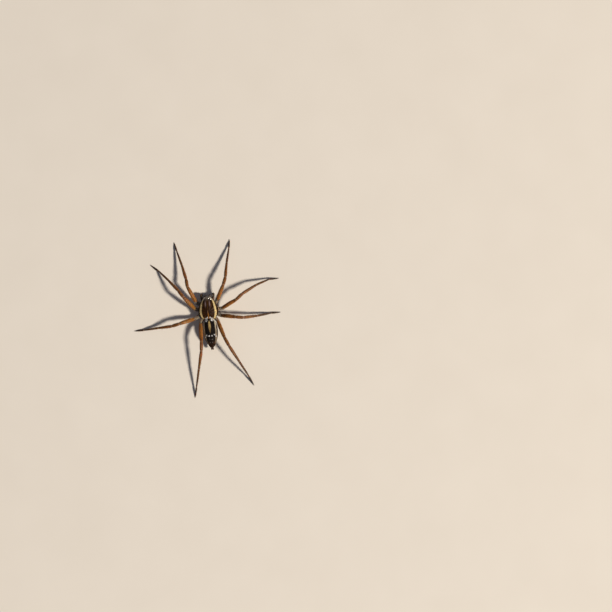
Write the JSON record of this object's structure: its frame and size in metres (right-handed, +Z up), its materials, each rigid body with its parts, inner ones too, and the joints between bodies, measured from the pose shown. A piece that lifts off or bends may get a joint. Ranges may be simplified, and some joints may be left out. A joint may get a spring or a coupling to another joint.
{
  "type": "great raft spider",
  "caption": "Life-size great raft spider standing still with its legs spread, dark brown with pale bands down both sides.",
  "frame": {"origin": "on the floor, under the middle of the bounding box of the body and spread legs", "axes": "+Z up; the head faces -Y and the abdomen +Y; +X is the spider's left"},
  "size_m": [0.0442, 0.047, 0.0062],
  "materials": {
    "carapace": "dark brown cuticle with short lying hair and a pale band along each side",
    "abdomen": "velvety near-black hair with pale side bands, an olive-tan middle mark and small white spots",
    "cuticle": "bare brown cuticle",
    "leg_upper": "orange-brown cuticle with fine hair",
    "leg_middle": "reddish-brown cuticle with fine hair and spines",
    "leg_lower": "dark grey-brown cuticle with dense fine hair",
    "fang": "smooth, dark red-brown cuticle",
    "eye": "smooth, shining black"
  },
  "bodies": {
    "root": {"cephalothorax": "carapace", "eye_front_inner_left": "eye", "eye_front_outer_left": "eye", "eye_rear_inner_left": "eye", "eye_rear_outer_left": "eye", "eye_front_inner_right": "eye", "eye_front_outer_right": "eye", "eye_rear_inner_right": "eye", "eye_rear_outer_right": "eye", "abdomen": "abdomen", "spinnerets": "cuticle", "chelicera_left": "carapace", "fang_left": "fang", "palp_inner_left": "leg_upper", "palp_outer_left": "leg_middle", "chelicera_right": "carapace", "fang_right": "fang", "palp_inner_right": "leg_upper", "palp_outer_right": "leg_middle", "leg_1_left_coxa": "leg_upper", "leg_1_left_femur": "leg_upper", "leg_1_left_tibia": "leg_middle", "leg_1_left_foot": "leg_lower", "leg_1_right_coxa": "leg_upper", "leg_1_right_femur": "leg_upper", "leg_1_right_tibia": "leg_middle", "leg_1_right_foot": "leg_lower", "leg_2_left_coxa": "leg_upper", "leg_2_left_femur": "leg_upper", "leg_2_left_tibia": "leg_middle", "leg_2_left_foot": "leg_lower", "leg_2_right_coxa": "leg_upper", "leg_2_right_femur": "leg_upper", "leg_2_right_tibia": "leg_middle", "leg_2_right_foot": "leg_lower", "leg_3_left_coxa": "leg_upper", "leg_3_left_femur": "leg_upper", "leg_3_left_tibia": "leg_middle", "leg_3_left_foot": "leg_lower", "leg_3_right_coxa": "leg_upper", "leg_3_right_femur": "leg_upper", "leg_3_right_tibia": "leg_middle", "leg_3_right_foot": "leg_lower", "leg_4_left_coxa": "leg_upper", "leg_4_left_femur": "leg_upper", "leg_4_left_tibia": "leg_middle", "leg_4_left_foot": "leg_lower", "leg_4_right_coxa": "leg_upper", "leg_4_right_femur": "leg_upper", "leg_4_right_tibia": "leg_middle", "leg_4_right_foot": "leg_lower"}
  },
  "joints": []
}
